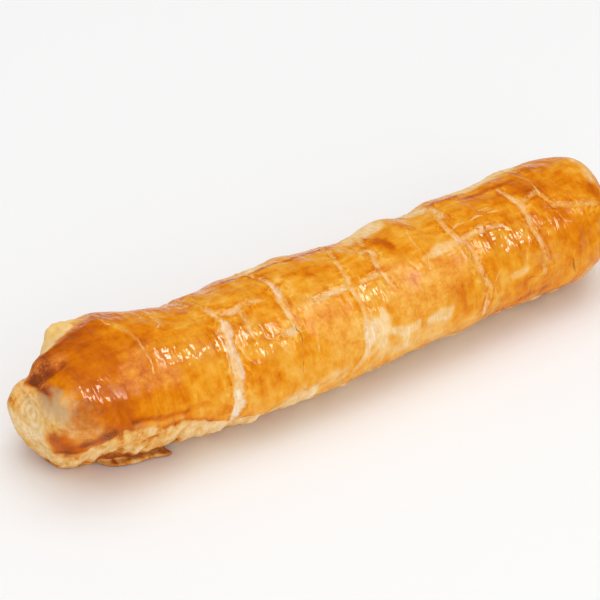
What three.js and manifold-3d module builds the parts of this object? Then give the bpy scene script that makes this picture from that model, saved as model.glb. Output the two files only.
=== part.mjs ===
// An almond pastry log: one long roll of puff pastry, baked whole, its crust torn across
// by its own rise. Millimetres, +Z up. The log lies along X on its flat underside, the
// pinched end with the burnt nose at -X and the side with the open tears at -Y.
import * as THREE from "three";
import { SimplexNoise } from "three/addons/math/SimplexNoise.js";
import { mergeVertices } from "three/addons/utils/BufferGeometryUtils.js";
import Module from "manifold-3d";

// Driving sizes of the roll
const PINCHED_END = -126; // station of the pinched end face, along the roll
const PLAIN_END = 135; // station of the plain end face
const WIDTH = 58.4; // across the roll at a plain run
const AXIS_HEIGHT = 23.4; // the roll's axis above the tray
const TOP_RISE = 24.0; // from the axis to the top of the crust
const SAG = 25.2; // from the axis to the underside, before the tray flattens it
const PINCHED_CORNER = 15; // rounding where the pinched end turns into the side
const PLAIN_CORNER = 20; // rounding at the other end
const PINCHED_BOW = 8.8; // how far the pinched end swings to the back
const PLAIN_BOW = 5.4; // how far the plain end swings to the back
const BOW_AT = 8; // station where the roll comes nearest the front
const BOW_RUN = 97; // length over which it swings
const BOW_FRONT = 2.4; // how far it lies to the front there
const END_RUN = 38; // length of each end that the pinching shapes
const PINCHED_FOOT = 1.3; // how far the pinched end's lower rim is squared out onto the tray
const PLAIN_FOOT = 0.35; // and the plain end's
const BACK_CUT = 0.75; // how fast the pinched end falls away behind, per mm across
const BACK_CUT_FROM = 3; // where that starts, across the roll
const BACK_CUT_FOOT = 10; // height where it starts above the tray
const BACK_CUT_FULL = 28; // and where it is whole
const FOOT_TURN = 0.8; // how far under the roll a foot is squared out whole, as a cosine

// The mesh of the roll
const RINGS = 112; // rows from the middle of one end to the middle of the other
const TURNS = 48; // columns round the roll

// Fat and lean places of the roll: station, half length, angle from the top towards the
// front, half spread of angle, change of radius
const PUFFS = [
  { at: -93, half: 10, angle: -42, spread: 40, by: 3.2 },
  { at: -92, half: 20, angle: -50, spread: 70, by: 0.6 },
  { at: -66, half: 9, angle: -40, spread: 80, by: -2.6 },
  { at: -102, half: 20, angle: 115, spread: 50, by: 1.7 },
  { at: -110, half: 15, angle: 66, spread: 28, by: 2.6 },
  { at: -58, half: 15, angle: 120, spread: 45, by: 2.8 },
  { at: -22, half: 17, angle: 120, spread: 45, by: 2.2 },
  { at: -40, half: 9, angle: 118, spread: 40, by: 1.5 },
  { at: -49, half: 6, angle: -42, spread: 40, by: -1.8 },
  { at: -40, half: 15, angle: -45, spread: 60, by: 0.5 },
  { at: -13, half: 5, angle: -42, spread: 40, by: 1.2 },
  { at: -18, half: 8, angle: -45, spread: 60, by: 1.2 },
  { at: 17, half: 9, angle: -30, spread: 75, by: -1.2 },
  { at: 34, half: 7, angle: -45, spread: 60, by: 1.4 },
  { at: 28, half: 13, angle: 120, spread: 50, by: -0.8 },
  { at: 46, half: 5, angle: -30, spread: 75, by: -1.6 },
  { at: 55, half: 4, angle: -42, spread: 40, by: -1.5 },
  { at: 60, half: 7, angle: -45, spread: 60, by: 0.9 },
  { at: 62, half: 9, angle: 115, spread: 50, by: -1.0 },
  { at: 79, half: 8, angle: -45, spread: 60, by: -0.8 },
  { at: 104, half: 13, angle: 40, spread: 90, by: 0.5 },
  { at: 112, half: 18, angle: 115, spread: 45, by: 1.6 },
  { at: 124, half: 9, angle: -40, spread: 70, by: -0.6 },
];

// Tears across the crust: station at the upper front, lean along the roll per quarter
// turn, span of angles from the top towards the front, half width and depth
const TEARS = [
  { at: -60.8, lean: -1.5, from: -30, to: 112, half: 2.6, depth: 1.5 },
  { at: -30.3, lean: -2.0, from: -20, to: 84, half: 1.7, depth: 0.8 },
  { at: -0.8, lean: -6.5, from: -20, to: 96, half: 1.9, depth: 0.9 },
  { at: 13.5, lean: -4.5, from: 0, to: 80, half: 1.7, depth: 0.7 },
  { at: 54.6, lean: 2.0, from: -25, to: 104, half: 1.9, depth: 0.9 },
  { at: 86.3, lean: 0.0, from: 5, to: 92, half: 1.7, depth: 0.7 },
  { at: 100.2, lean: -2.0, from: -30, to: 45, half: 1.7, depth: 0.6 },
];
const LIP = 0.35; // share of a tear's depth that its lips stand proud
const LIP_AT = 2.1; // where a lip stands, in half widths of its tear
const LIP_HALF = 0.9; // half width of a lip, in the same measure
const TEAR_START = 14; // degrees over which a tear opens at the top
const TEAR_END = 12; // and over which it closes at the front

// The glazed crust ends in an overhang along the front, above a paler tucked-in base
const HEM_AT_PINCH = 19; // height of that hem near the pinched end
const HEM_AT_PLAIN = 8; // and near the plain end
const HEM_FALL_FROM = -97.5; // station where it starts to come down
const HEM_FALL_TO = -15; // and where it is down
const HEM_WAVE = 0.9; // how far it wavers
const HEM_WAVE_RUN = 22; // length of one waver
const HEM_WAVE_ROW = 3.1; // row of the noise that it follows
const HEM_FRONT_FROM = 0.1; // sine of the angle where it starts on the front
const HEM_FRONT_FULL = 0.7; // and where it is whole
const HEM_TRAY = 3; // height over which it dies out onto the tray
const HEM_DEPTH = 1.3; // how far the base stands back under it
const HEM_SOFT = 2.4; // half the height over which it turns under

// Handfuls of dough pushed about by the pinching of the ends: centre, reach, movement
const PULLS = [
  { name: "nose", at: [-119.5, 5, 39.5], reach: 8.5, by: [-8.5, 3, -3.5] },
  { name: "hollow under the nose", at: [-121, 11, 33], reach: 5.5, by: [8, -2, -1.5] },
  { name: "shoulder", at: [-122, -13, 41], reach: 8.5, by: [-3, -1.5, 2] },
  { name: "belly", at: [-127, -4, 22], reach: 11, by: [-4, 0, 1] },
  { name: "flank of the belly", at: [-121, -21, 18], reach: 10, by: [3, 3.5, 0] },
  { name: "lobe", at: [-122, 15.5, 22.5], reach: 9.5, by: [-9.8, 1.8, 4] },
  { name: "toe", at: [-124, 10, 9], reach: 11, by: [-3.9, 0.5, 0] },
  { name: "ear", at: [-104, 24, 34], reach: 7.5, by: [-3, 2.5, 8] },
  { name: "pinch at the front foot", at: [-112, -17, 7], reach: 16, by: [2, 5, 1] },
  { name: "plain end lip", at: [128, 3, 43], reach: 10, by: [0.5, 0, 3.4] },
  { name: "tuck under the plain end lip", at: [134, 0, 29], reach: 8, by: [-3, 0, 0] },
  { name: "plain end lobe", at: [133, 6, 17], reach: 12, by: [2.5, 0, 0] },
  { name: "pinch at the plain end's front foot", at: [126, -20, 12], reach: 14, by: [-4, 3, 0] },
];

// A thin flake of the bottom sheet that sticks out at the front by the pinched end
const FLAKE_THICKNESS = 1.5;
const FLAKE_LIFT = 0.4; // its underside above the tray
const FLAKE_EDGE = 0.5; // rounding of its rim
const FLAKE_RIM_POINTS = 22; // points round its rim
const FLAKE_OUTLINE = [
  [-110, -3], [-106, -10], [-98, -13.5], [-91, -14.5], [-86, -16.5], [-83.5, -17], [-84.5, -14], [-86, -4],
];

// Unevenness of the baked crust
const LUMP_SIZE = 17;
const LUMP_HEIGHT = 0.7;
const RIPPLE_SIZE = 6;
const RIPPLE_HEIGHT = 0.28;
const LUMPS_ROUND = 1.6; // how quickly lumps change round the roll
const RIPPLES_ROUND = 4.8; // and ripples
const WELD = 1e-3; // corners nearer than this are one

const QUARTER = Math.PI / 2;
let seed = 20261;
const noise = new SimplexNoise({
  random() {
    seed = (seed * 16807) % 2147483647;
    return seed / 2147483647;
  },
});

const hill = (offset) => Math.exp(-offset * offset);
const ramp = (off, on, value) => THREE.MathUtils.smoothstep((value - off) / (on - off), 0, 1);

// Half outline of the roll: axis, end face, rounded corner, side, corner, end face, axis
function halfOutline() {
  const radius = WIDTH / 2;
  const path = new THREE.Path();
  path.moveTo(0, PINCHED_END);
  path.lineTo(radius - PINCHED_CORNER, PINCHED_END);
  path.absarc(radius - PINCHED_CORNER, PINCHED_END + PINCHED_CORNER, PINCHED_CORNER, -QUARTER, 0);
  path.lineTo(radius, PLAIN_END - PLAIN_CORNER);
  path.absarc(radius - PLAIN_CORNER, PLAIN_END - PLAIN_CORNER, PLAIN_CORNER, 0, QUARTER);
  path.lineTo(0, PLAIN_END);
  const points = path.getSpacedPoints(RINGS);
  points[0].x = 0;
  points[RINGS].x = 0;
  return points;
}

// Sideways swing of the axis: both ends lie further back than the middle
function bow(x) {
  const along = (x - BOW_AT) / BOW_RUN;
  const swing = along < 0 ? PINCHED_BOW : PLAIN_BOW;
  return swing * (1 - hill(along)) - BOW_FRONT;
}

// Height of the crust's hem along the front
function hemHeight(x) {
  const fall = ramp(HEM_FALL_FROM, HEM_FALL_TO, x);
  const wave = HEM_WAVE * noise.noise(x / HEM_WAVE_RUN, HEM_WAVE_ROW);
  return THREE.MathUtils.lerp(HEM_AT_PINCH, HEM_AT_PLAIN, fall) + wave;
}

// Change of radius at a station and an angle; the angle runs from the top to the front
function swelling(x, angle) {
  let by = 0;
  const degrees = THREE.MathUtils.radToDeg(angle);
  for (const puff of PUFFS) {
    const turned = THREE.MathUtils.euclideanModulo(degrees - puff.angle + 180, 360) - 180;
    by += puff.by * hill((x - puff.at) / puff.half) * hill(turned / puff.spread);
  }
  for (const tear of TEARS) {
    const middle = tear.at + tear.lean * (degrees - 45) / 90;
    const started = ramp(tear.from - TEAR_START, tear.from + TEAR_START, degrees);
    const open = started * ramp(tear.to + TEAR_END, tear.to - TEAR_END, degrees);
    const away = (x - middle) / tear.half;
    const lips = hill((Math.abs(away) - LIP_AT) / LIP_HALF) * LIP;
    by += tear.depth * open * (lips - hill(away));
  }
  const up = Math.cos(angle);
  const across = Math.sin(angle);
  by += LUMP_HEIGHT * noise.noise3d(x / LUMP_SIZE, up * LUMPS_ROUND, across * LUMPS_ROUND);
  by += RIPPLE_HEIGHT * noise.noise3d(x / RIPPLE_SIZE, up * RIPPLES_ROUND, across * RIPPLES_ROUND);
  return by;
}

// One point of the plain roll, shaped into the baked log
function knead(point) {
  let x = point.x;
  let reach = Math.hypot(point.y, point.z) / (WIDTH / 2);
  const angle = Math.atan2(-point.y, point.z);
  const grown = 1 + swelling(x, angle) / (WIDTH / 2);
  const up = Math.cos(angle);
  const across = Math.sin(angle);
  const pinched = ramp(PINCHED_END + END_RUN, PINCHED_END, x);
  const plain = ramp(PLAIN_END - END_RUN, PLAIN_END, x);
  const square = (PINCHED_FOOT * pinched + PLAIN_FOOT * plain) * ramp(0, FOOT_TURN, -up);
  reach *= (1 + square) / (1 + square * reach);
  const z = AXIS_HEIGHT + (up > 0 ? TOP_RISE : SAG) * up * reach * grown;
  let y = -WIDTH / 2 * across * reach * grown;
  const hem = hemHeight(x);
  const front = ramp(-HEM_TRAY, HEM_TRAY, z) * ramp(HEM_FRONT_FROM, HEM_FRONT_FULL, across);
  const under = ramp(hem + HEM_SOFT, hem - HEM_SOFT, z) * front;
  y += HEM_DEPTH * under * reach;
  x += BACK_CUT * pinched * Math.max(0, y - BACK_CUT_FROM) * ramp(BACK_CUT_FOOT, BACK_CUT_FULL, z);
  y += bow(point.x);
  point.set(x, y, z);
  const start = point.clone();
  for (const pull of PULLS) {
    const centre = new THREE.Vector3(...pull.at);
    const share = hill(start.distanceTo(centre) / pull.reach);
    point.addScaledVector(new THREE.Vector3(...pull.by), share);
  }
  point.z = Math.max(point.z, 0);
  return point;
}

function rolledLog() {
  const geometry = new THREE.LatheGeometry(halfOutline(), TURNS);
  geometry.rotateZ(-QUARTER);
  const position = geometry.attributes.position;
  const point = new THREE.Vector3();
  for (let i = 0; i < position.count; i += 1) {
    point.fromBufferAttribute(position, i);
    knead(point);
    position.setXYZ(i, point.x, point.y, point.z);
  }
  return geometry;
}

function footFlake() {
  const outline = new THREE.SplineCurve(FLAKE_OUTLINE.map(([x, y]) => new THREE.Vector2(x, y)));
  const shape = new THREE.Shape(outline.getSpacedPoints(FLAKE_RIM_POINTS));
  const geometry = new THREE.ExtrudeGeometry(shape, {
    depth: FLAKE_THICKNESS - 2 * FLAKE_EDGE,
    bevelEnabled: true,
    bevelThickness: FLAKE_EDGE,
    bevelSize: FLAKE_EDGE,
    bevelSegments: 2,
  });
  geometry.translate(0, 0, FLAKE_LIFT + FLAKE_EDGE);
  return geometry;
}

// A closed body from a geometry, its seams welded and its collapsed triangles dropped
function body(wasm, geometry) {
  geometry.deleteAttribute("normal");
  geometry.deleteAttribute("uv");
  const welded = mergeVertices(geometry, WELD);
  const index = welded.index.array;
  const kept = [];
  for (let i = 0; i < index.length; i += 3) {
    const [a, b, c] = [index[i], index[i + 1], index[i + 2]];
    if (a !== b && b !== c && c !== a) {
      kept.push(a, b, c);
    }
  }
  return new wasm.Manifold(new wasm.Mesh({
    numProp: 3,
    vertProperties: new Float32Array(welded.attributes.position.array),
    triVerts: new Uint32Array(kept),
  }));
}

const wasm = await Module();
wasm.setup();
const joined = body(wasm, rolledLog()).add(body(wasm, footFlake())).getMesh();

const geometry = new THREE.BufferGeometry();
geometry.setAttribute("position", new THREE.BufferAttribute(new Float32Array(joined.vertProperties), 3));
geometry.setIndex(new THREE.BufferAttribute(new Uint32Array(joined.triVerts), 1));
geometry.computeBoundingBox();
const middle = geometry.boundingBox.getCenter(new THREE.Vector3());
geometry.translate(-middle.x, -middle.y, -geometry.boundingBox.min.z);
geometry.computeVertexNormals();

const crust = new THREE.MeshStandardMaterial({ color: 0xdd8a22, roughness: 0.35, metalness: 0 });
const log = new THREE.Mesh(geometry, crust);
log.name = "pastry_log";

const pastry = new THREE.Group();
pastry.name = "almond_pastry_log";
pastry.add(log);

export default pastry;
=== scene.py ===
import math

import bmesh
import bpy
import numpy as np
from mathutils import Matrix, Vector, noise
from mathutils.bvhtree import BVHTree


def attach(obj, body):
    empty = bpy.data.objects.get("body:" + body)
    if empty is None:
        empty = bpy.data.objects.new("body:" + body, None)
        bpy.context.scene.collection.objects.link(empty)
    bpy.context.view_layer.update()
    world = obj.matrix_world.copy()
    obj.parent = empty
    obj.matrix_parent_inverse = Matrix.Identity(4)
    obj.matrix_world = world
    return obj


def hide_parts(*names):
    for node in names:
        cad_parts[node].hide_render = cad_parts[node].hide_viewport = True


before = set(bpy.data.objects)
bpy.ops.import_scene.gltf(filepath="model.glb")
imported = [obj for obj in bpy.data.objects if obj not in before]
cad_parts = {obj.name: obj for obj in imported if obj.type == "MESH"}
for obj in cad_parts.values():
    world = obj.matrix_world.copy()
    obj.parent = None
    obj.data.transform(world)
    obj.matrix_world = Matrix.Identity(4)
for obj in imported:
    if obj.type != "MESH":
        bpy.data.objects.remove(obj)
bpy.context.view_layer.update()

scene = bpy.context.scene
MM = 0.001

# Where the photograph was taken from, and its frame
EYE = Vector((-0.42478, -0.58370, 0.51115))
AZIMUTH = math.radians(-35.08)
ELEVATION = math.radians(33.86)
FRAME_PIXELS = 600
FOCAL_PIXELS = 2232
SENSOR_MM = 36
NEAREST = 0.05  # m
FARTHEST = 20  # m
BACK = Vector((
    math.sin(AZIMUTH) * math.cos(ELEVATION),
    -math.cos(AZIMUTH) * math.cos(ELEVATION),
    math.sin(ELEVATION),
))
RIGHT = (-BACK).cross(Vector((0, 0, 1))).normalized()
UP = BACK.cross(RIGHT)

# The roll, in mm unless said
AXIS_HEIGHT = 23.4  # from the tray to the middle of the roll
WELD = 0.002
JOIN_FOLD = math.radians(70)  # the sharpest fold across which two triangles join
JOIN_SKEW = math.radians(170)  # how far a joined face may be from square
SMOOTHING_LEVELS = 2
SPINE_END = 130  # first and last station of the middle line
SPINE_STEP = 5.0
RING_HALF = 4  # half the length of log that each station is read from
SPINE_AVERAGE = 7  # stations averaged at a time

# Tears in the crust, drawn on the photograph: how pale the torn dough is from 0 to 1, then pixel across,
# pixel down, half width in mm
TEARS = {
    "collar": (0.80, [
        (223, 322, 0.5), (226, 328, 1.4), (228, 334, 1.6), (229, 341, 1.1), (231, 349, 1.3), (234, 358, 1.8),
        (236, 366, 2.0), (238, 374, 2.2), (239, 382, 2.0), (239, 390, 1.9), (239, 398, 1.6),
    ]),
    "collar foot": (1.00, [
        (239, 396, 1.4), (240, 402, 1.9), (237, 410, 1.8), (234, 417, 1.3), (232, 421, 0.6),
    ]),
    "collar crown": (0.42, [(201, 309, 0.3), (208, 311, 0.6), (215, 315, 0.9), (222, 322, 0.7)]),
    "collar ribs": (0.56, [(214, 315, 0.9), (221, 313, 1.5), (228, 313, 1.5), (234, 311, 0.9)]),
    "collar arc": (0.60, [
        (234, 311, 0.6), (241, 305, 0.9), (248, 302, 0.9), (256, 301, 0.6), (262, 300, 0.3),
    ]),
    "collar spur": (0.50, [
        (240, 311, 0.4), (244, 318, 0.7), (247, 326, 0.8), (250, 332, 0.5), (253, 336, 0.2),
    ]),
    "collar patch": (0.60, [(217, 335, 0.5), (222, 331, 0.9), (225, 329, 0.9)]),
    "second": (0.68, [
        (261, 280, 0.3), (270, 284, 0.7), (275, 289, 1.0), (279, 296, 1.2), (282, 303, 1.4), (286, 310, 1.0),
        (290, 317, 1.1), (293, 322, 0.8), (296, 327, 0.5),
    ]),
    "second spur": (0.66, [(298, 329, 0.7), (293, 332, 1.1), (288, 333, 0.9), (283, 335, 0.4)]),
    "third arm": (0.62, [
        (311, 300, 0.3), (320, 298, 0.8), (330, 294, 0.9), (340, 290, 0.8), (349, 286, 0.9),
    ]),
    "third": (0.62, [
        (333, 260, 0.3), (340, 268, 0.6), (346, 277, 0.7), (350, 285, 1.1), (354, 293, 0.9), (358, 299, 0.7),
        (362, 307, 0.7), (365, 315, 1.0),
    ]),
    "third wedge": (0.70, [
        (366, 317, 1.2), (369, 324, 2.4), (372, 333, 3.2), (373, 342, 3.0), (370, 351, 2.2), (363, 361, 1.2),
        (354, 370, 0.5),
    ]),
    "fourth": (0.55, [
        (360, 254, 0.3), (367, 251, 0.4), (372, 253, 0.6), (375, 262, 0.8), (378, 270, 0.9), (383, 275, 0.6),
        (388, 281, 0.4), (394, 288, 0.2),
    ]),
    "fourth arm": (0.60, [(361, 282, 0.3), (370, 278, 0.6), (379, 273, 0.5)]),
    "fifth head": (0.50, [(427, 208, 0.5), (434, 212, 1.0), (441, 216, 0.9), (447, 218, 0.4)]),
    "fifth": (0.58, [
        (438, 217, 0.5), (443, 225, 0.7), (448, 231, 0.7), (454, 236, 0.8), (460, 241, 0.9), (467, 244, 0.6),
        (473, 251, 0.9), (476, 259, 1.1), (479, 268, 1.2), (483, 276, 0.9), (488, 283, 0.7), (491, 288, 0.6),
        (489, 295, 1.2), (487, 302, 1.3), (484, 311, 0.9), (481, 318, 0.5),
    ]),
    "fifth arm": (0.57, [
        (460, 240, 0.4), (467, 237, 0.9), (475, 233, 0.9), (484, 230, 0.6), (493, 227, 0.5), (502, 225, 0.2),
    ]),
    "sixth": (0.55, [
        (497, 190, 0.2), (505, 195, 0.4), (512, 200, 0.8), (520, 204, 1.2), (524, 211, 0.8), (528, 218, 0.8),
        (531, 226, 0.9), (536, 234, 0.8), (541, 242, 1.0), (544, 250, 1.0), (546, 258, 1.0), (546, 266, 0.9),
        (545, 273, 0.5),
    ]),
    "sixth arm": (0.56, [
        (520, 204, 0.7), (528, 197, 0.6), (536, 192, 0.9), (541, 195, 0.8), (546, 199, 0.6), (552, 205, 0.5),
    ]),
    "far band": (0.36, [(552, 205, 0.6), (562, 204, 0.8), (572, 205, 0.5), (582, 203, 0.8), (598, 203, 0.5)]),
}

# The tears' unseen runs over the back: station in mm, degrees from the top (minus is back), half width in mm
BACK_PALENESS = 0.55
BACK_TEARS = [
    [(-62, -20, 0.5), (-63, -40, 1.0), (-61, -60, 1.3), (-62, -80, 1.1), (-60, -100, 0.8), (-61, -115, 0.3)],
    [(-31, -14, 0.4), (-33, -32, 0.8), (-31, -52, 0.6), (-34, -74, 0.8), (-33, -96, 0.4)],
    [(0, -5, 0.4), (2, -25, 0.7), (4, -48, 0.9), (2, -70, 1.2), (4, -92, 0.9), (3, -112, 0.3)],
    [(15, -8, 0.4), (18, -30, 0.6), (17, -48, 0.4), (19, -66, 0.2)],
    [(52, -22, 0.5), (50, -42, 0.8), (52, -65, 1.1), (49, -85, 0.8), (50, -110, 0.3)],
    [(99, -22, 0.4), (98, -45, 0.8), (96, -66, 1.0), (97, -88, 0.7), (96, -108, 0.3)],
]

# Pale hairlines where the skin has only just parted: pixel across, pixel down, half width in mm
HAIRS = [
    [(225, 347, 0.2), (227, 356, 0.3), (229, 365, 0.25), (230, 373, 0.15)],
    [(237, 342, 0.15), (241, 350, 0.3), (246, 356, 0.25), (252, 361, 0.15)],
    [(258, 322, 0.15), (263, 331, 0.3), (268, 338, 0.3), (275, 339, 0.3), (282, 334, 0.2)],
    [(271, 324, 0.2), (276, 330, 0.3), (282, 332, 0.2)],
    [(277, 342, 0.15), (281, 346, 0.25), (286, 351, 0.15)],
    [(452, 229, 0.2), (457, 225, 0.45), (463, 222, 0.2)],
    [(470, 220, 0.2), (476, 217, 0.45), (482, 216, 0.2)],
    [(474, 229, 0.2), (481, 226, 0.4), (488, 223, 0.2)],
    [(488, 213, 0.2), (495, 211, 0.45), (502, 209, 0.2)],
    [(478, 211, 0.15), (483, 209, 0.35), (488, 207, 0.15)],
    [(513, 175, 0.2), (522, 178, 0.3), (528, 180, 0.3), (534, 187, 0.35), (540, 193, 0.35)],
    [(528, 270, 0.3), (527, 258, 0.25), (529, 246, 0.25), (530, 236, 0.15)],
    # These two run along folds on the hood and also paint the pale highlight on their ridges
    [(137, 343, 0.1), (142, 350, 0.25), (147, 358, 0.35), (151, 366, 0.25), (153, 374, 0.15)],
    [(97, 319, 0.1), (106, 324, 0.25), (117, 329, 0.2), (126, 335, 0.1)],
    [(143, 312, 0.15), (152, 319, 0.25), (158, 326, 0.25), (154, 333, 0.15)],
    [(446, 256, 0.25), (451, 254, 0.35), (456, 251, 0.2)],
    [(406, 230, 0.1), (411, 240, 0.2), (420, 250, 0.2)],
    [(428, 258, 0.2), (429, 264, 0.25), (431, 271, 0.15)],
    [(317, 325, 0.15), (317, 333, 0.25), (318, 342, 0.25), (320, 352, 0.15)],
    [(491, 290, 0.15), (496, 280, 0.25), (500, 270, 0.2)],
]

# Dark fissures in the crust, written in the same way
CRACKS = [
    [
        (296, 324, 0.15), (298, 329, 0.25), (301, 335, 0.20), (303, 341, 0.25), (303, 348, 0.10),
        (304, 356, 0.05), (304, 366, 0.22), (303, 374, 0.05),
    ],
    [(528, 279, 0.2), (531, 277, 0.3), (535, 276, 0.15)],
    [(573, 258, 0.2), (574, 262, 0.5), (574, 266, 0.5), (575, 271, 0.2)],
]

# Folds in the crust: height in mm (minus is a furrow), softness in mm, then the path in pixels as above
FOLDS = [
    (-1.3, 1.1, [(36, 384, 0.3), (44, 380, 0.4), (53, 374, 0.4), (62, 367, 0.2)]),
    (-1.4, 1.3, [(30, 389, 0.5), (38, 396, 0.6), (48, 396, 0.4), (58, 391, 0.1)]),
    (0.5, 1.4, [(45, 357, 0.5), (56, 349, 0.6), (68, 340, 0.6), (80, 332, 0.5), (90, 324, 0.3)]),
    (-0.6, 1.2, [(50, 354, 0.3), (62, 345, 0.4), (74, 336, 0.3)]),
    (0.60, 1.0, [(92, 316, 0.3), (104, 321, 0.4), (117, 328, 0.4), (128, 335, 0.4), (136, 343, 0.3)]),
    (0.60, 0.9, [(136, 343, 0.2), (141, 348, 0.4), (147, 357, 0.5), (152, 368, 0.4), (154, 378, 0.2)]),
    (-0.4, 1.5, [(92, 325, 0.5), (108, 333, 0.6), (120, 341, 0.6), (130, 350, 0.5), (136, 362, 0.3)]),
    (0.35, 0.8, [(143, 312, 0.3), (152, 319, 0.4), (159, 326, 0.4), (156, 332, 0.3)]),
    (1.2, 6.0, [(58, 384, 1.0), (64, 376, 1.0)]),
    (1.8, 2.4, [(19, 390, 0.5), (22, 387, 0.8), (25, 385, 0.6)]),
    (-2.2, 2.4, [(27, 372, 0.6), (26, 379, 0.8), (28, 385, 0.5)]),
    (1.5, 9.0, [(158, 343, 1.0), (180, 341, 1.0), (204, 337, 1.0)]),
    (0.4, 0.8, [(258, 322, 0.2), (264, 331, 0.3), (270, 337, 0.4), (277, 338, 0.4), (283, 334, 0.3)]),
    (0.4, 0.8, [(276, 341, 0.2), (281, 346, 0.3), (287, 352, 0.3), (291, 357, 0.2)]),
    (-0.25, 0.7, [(296, 324, 0.2), (302, 339, 0.3), (305, 350, 0.2), (304, 366, 0.2), (300, 388, 0.1)]),
    (0.5, 1.0, [(222, 286, 0.4), (236, 281, 0.4), (250, 276, 0.5), (264, 270, 0.4), (280, 264, 0.3)]),
    (0.5, 1.0, [(424, 209, 0.4), (440, 203, 0.5), (458, 196, 0.5), (476, 191, 0.4), (494, 184, 0.3)]),
]

# Browned places, and one line of painted shade over the flake: amount, softness in mm, then pixel across,
# pixel down, half width in mm
BURNT_NOSE = [
    (0.12, 3.0, [(34, 364, 2.2), (31, 377, 2.5), (36, 389, 2.0)]),
    (0.24, 1.6, [(37, 376, 0.8), (42, 373, 1.6), (47, 371, 1.2), (51, 369, 0.4)]),
    (0.18, 1.0, [(37, 383, 0.6), (46, 377, 0.7), (56, 371, 0.5), (64, 365, 0.3)]),
    (0.22, 1.2, [(29, 374, 0.4), (30, 382, 0.7), (33, 389, 0.9), (38, 393, 0.8), (44, 394, 0.4)]),
]
TOASTED = BURNT_NOSE + [
    (0.10, 1.2, [(48, 392, 0.5), (56, 390, 0.6), (64, 388, 0.3)]),
    (0.10, 2.0, [(45, 357, 1.2), (56, 349, 1.2), (68, 340, 1.0), (80, 333, 1.0), (90, 331, 0.6)]),
    (0.07, 3.0, [(95, 365, 2.0), (107, 368, 3.0), (116, 376, 3.0), (118, 388, 2.0)]),
    (0.10, 6.0, [(74, 404, 3.0), (86, 416, 4.0), (98, 428, 3.0)]),
    (0.34, 1.4, [(40, 443, 0.5), (44, 449, 0.8), (49, 454, 0.8)]),
    (0.08, 3.0, [(52, 460, 1.5), (62, 461, 2.0), (72, 458, 1.5)]),
    (0.14, 4.0, [(56, 430, 2.0), (66, 424, 2.5), (76, 420, 2.0)]),
    (0.28, 1.2, [(82, 446, 0.6), (90, 442, 1.2), (97, 441, 0.4), (105, 437, 1.0), (114, 433, 0.5)]),
    (0.03, 3.0, [(124, 396, 2.0), (127, 408, 3.0), (129, 420, 3.0), (130, 430, 2.0)]),
    (0.22, 0.6, [
        (134, 422, 0.3), (140, 421, 0.5), (150, 419, 0.2), (163, 418, 0.6), (176, 414, 0.2), (188, 411, 0.4),
    ]),
    (0.12, 0.9, [(194, 407, 0.4), (201, 405, 0.6), (208, 404, 0.5)]),
    (0.16, 0.8, [(163, 429, 0.6), (170, 426, 0.6), (178, 423, 0.4)]),
    (0.16, 0.7, [(192, 421, 0.4), (205, 420, 0.4), (218, 420, 0.4), (232, 419, 0.4)]),
    (0.10, 2.0, [(112, 443, 3.0), (130, 440, 3.0), (150, 438, 3.0), (166, 436, 2.0)]),
    # Painted shade: a dark line in the gap between the body and the flake
    (0.30, 1.5, [(120, 459, 1.5), (136, 458, 1.5), (150, 455, 1.5), (164, 450, 1.0)]),
    (0.36, 0.8, [
        (222, 284, 0.5), (232, 280, 0.5), (241, 278, 0.6), (250, 274, 0.5), (258, 271, 0.5), (268, 266, 0.6),
        (278, 263, 0.6), (290, 260, 0.4),
    ]),
    (0.10, 2.0, [(255, 289, 1.5), (266, 291, 1.5), (276, 288, 1.0)]),
    (0.12, 2.0, [(300, 273, 1.0), (312, 271, 1.0), (325, 268, 1.0)]),
    (0.24, 0.8, [(294, 258, 0.4), (306, 254, 0.5), (318, 251, 0.5), (330, 248, 0.4)]),
    (0.24, 1.5, [(350, 242, 0.9), (362, 240, 0.9), (372, 241, 0.9), (384, 243, 0.9), (392, 247, 0.6)]),
    (0.14, 1.5, [(405, 226, 1.0), (411, 228, 1.0)]),
    (0.30, 1.0, [(424, 208, 0.8), (436, 203, 0.8), (448, 199, 0.8), (460, 195, 0.6)]),
    (0.20, 0.8, [(462, 199, 0.5), (476, 195, 0.5), (491, 189, 0.6), (501, 185, 0.6), (510, 181, 0.5)]),
    (0.14, 3.0, [(512, 187, 2.0), (522, 188, 2.0), (531, 186, 1.5)]),
    (0.10, 2.0, [(470, 198, 1.0), (482, 200, 1.0)]),
    (0.12, 3.0, [(250, 372, 2.0), (262, 374, 2.0), (275, 370, 1.5)]),
    (0.12, 2.0, [(255, 385, 2.0), (262, 390, 2.0)]),
    (0.10, 2.0, [(280, 380, 1.5), (284, 384, 1.5)]),
    (0.10, 3.0, [(395, 270, 2.0), (410, 274, 2.0)]),
    (0.20, 0.7, [(308, 390, 0.4), (318, 385, 0.5), (330, 380, 0.5)]),
    (0.16, 0.8, [(338, 378, 0.5), (348, 370, 0.5)]),
    (0.16, 0.8, [(520, 299, 0.5), (532, 293, 0.5), (545, 287, 0.4)]),
    (0.12, 2.0, [(590, 188, 2.0), (595, 192, 2.0)]),
    (0.10, 2.0, [(545, 205, 2.0), (556, 210, 2.0)]),
    (0.06, 4.0, [(295, 280, 3.0), (310, 277, 3.0), (325, 273, 3.0)]),
    (0.08, 3.0, [(474, 203, 1.5), (488, 200, 1.5), (500, 198, 1.5)]),
    (0.04, 5.0, [(98, 412, 3.0), (110, 420, 3.0)]),
    (0.05, 6.0, [(76, 357, 3.0), (90, 350, 3.0)]),
    (0.14, 2.5, [(13, 402, 1.5), (17, 393, 1.5), (24, 386, 1.0)]),
    (0.10, 3.0, [(570, 225, 2.5), (578, 240, 2.5)]),
    (0.10, 2.0, [(505, 295, 1.5), (520, 288, 2.0)]),
]

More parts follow.
